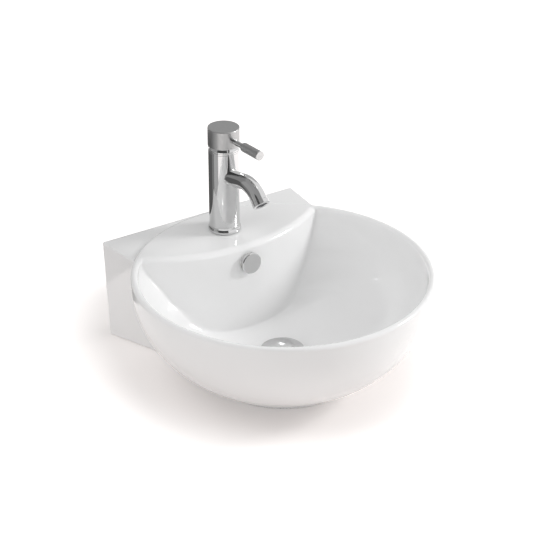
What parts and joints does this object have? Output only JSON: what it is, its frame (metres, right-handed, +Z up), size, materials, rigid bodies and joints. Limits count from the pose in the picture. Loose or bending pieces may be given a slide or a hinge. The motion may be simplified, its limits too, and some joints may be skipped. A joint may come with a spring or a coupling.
{
  "type": "washbasin",
  "caption": "Round white ceramic washbasin with a rear wall block, single-lever pillar tap, overflow cover and press-to-open waste.",
  "frame": {"origin": "centre of the bounding box at foot level", "axes": "+Z up, +Y towards the wall, front of the bowl towards -Y, +X to the right seen from the front"},
  "size_m": [0.42, 0.429, 0.3199],
  "materials": {
    "basin_body": "white glaze",
    "overflow_cap": "polished chrome",
    "overflow_sleeve": "moulded white plastic",
    "waste_body": "polished chrome over brass",
    "waste_flange_seal": "black rubber",
    "waste_lower_seal": "black rubber",
    "waste_slip_washer": "moulded white plastic",
    "waste_back_nut": "machined brass",
    "click_barrel": "machined brass",
    "click_spring": "spring steel",
    "plug_dome": "polished chrome",
    "plug_seal": "black rubber",
    "plug_stem": "machined brass",
    "tap_body": "polished chrome over brass",
    "tap_spout": "polished chrome over brass",
    "aerator_housing": "polished chrome over brass",
    "aerator_insert": "moulded grey plastic",
    "aerator_seal": "black rubber",
    "tap_base_gasket": "black rubber",
    "fixing_studs": "plain steel",
    "rubber_saddle_washer": "black rubber",
    "steel_saddle_washer": "plain steel",
    "fixing_nuts": "machined brass",
    "cartridge_base": "moulded white plastic",
    "cartridge_base_seals": "black rubber",
    "fixed_disc": "lapped ceramic",
    "moving_disc": "lapped ceramic",
    "cartridge_housing": "moulded grey plastic",
    "cartridge_rotor": "moulded white plastic",
    "stem_pin": "plain steel",
    "cartridge_stem": "plain steel",
    "cartridge_nut": "machined brass",
    "shroud_ring": "polished chrome",
    "handle_cap": "satin chrome",
    "grub_screw": "plain steel",
    "index_plug": "moulded grey plastic",
    "lever_rod": "polished chrome",
    "lever_grip": "satin chrome",
    "lever_end_cap": "polished chrome"
  },
  "bodies": {
    "basin": {"basin_body": "basin_body", "overflow_cap": "overflow_cap", "overflow_sleeve": "overflow_sleeve", "waste_body": "waste_body", "waste_flange_seal": "waste_flange_seal", "waste_lower_seal": "waste_lower_seal", "waste_slip_washer": "waste_slip_washer", "waste_back_nut": "waste_back_nut", "click_barrel": "click_barrel", "click_spring": "click_spring", "tap_body": "tap_body", "tap_spout": "tap_spout", "aerator_housing": "aerator_housing", "aerator_insert": "aerator_insert", "aerator_seal": "aerator_seal", "tap_base_gasket": "tap_base_gasket", "fixing_studs": "fixing_studs", "rubber_saddle_washer": "rubber_saddle_washer", "steel_saddle_washer": "steel_saddle_washer", "fixing_nuts": "fixing_nuts", "cartridge_base": "cartridge_base", "cartridge_base_seals": "cartridge_base_seals", "fixed_disc": "fixed_disc", "cartridge_housing": "cartridge_housing", "cartridge_nut": "cartridge_nut", "shroud_ring": "shroud_ring"},
    "rotor": {"cartridge_rotor": "cartridge_rotor", "stem_pin": "stem_pin"},
    "handle": {"cartridge_stem": "cartridge_stem", "handle_cap": "handle_cap", "grub_screw": "grub_screw", "index_plug": "index_plug", "lever_rod": "lever_rod", "lever_grip": "lever_grip", "lever_end_cap": "lever_end_cap"},
    "mixer_disc": {"moving_disc": "moving_disc"},
    "plug": {"plug_dome": "plug_dome", "plug_seal": "plug_seal", "plug_stem": "plug_stem"}
  },
  "joints": [
    {"name": "handle_turn", "type": "hinge", "parent": "basin", "child": "rotor", "pos_m": [0, 0.1455, 0.284], "axis": [0, 0, 1], "range_deg": [-45, 45]},
    {"name": "handle_lift", "type": "hinge", "parent": "rotor", "child": "handle", "pos_m": [0, 0.1455, 0.284], "axis": [-1, 0, 0], "range_deg": [0, 16]},
    {"name": "disc_slide", "type": "slide", "parent": "rotor", "child": "mixer_disc", "axis": [0, -1, 0], "range_m": [0, 0.00407]},
    {"name": "plug_press", "type": "slide", "parent": "basin", "child": "plug", "axis": [0, 0, 1], "range_m": [-0.005, 0], "stiffness_N_per_m": 600, "springref_m": 0.004, "deforming": ["click_spring"]}
  ],
  "couplings": [
    {"joint": "disc_slide", "follows": "handle_lift", "m_per_rad": 0.01451}
  ]
}
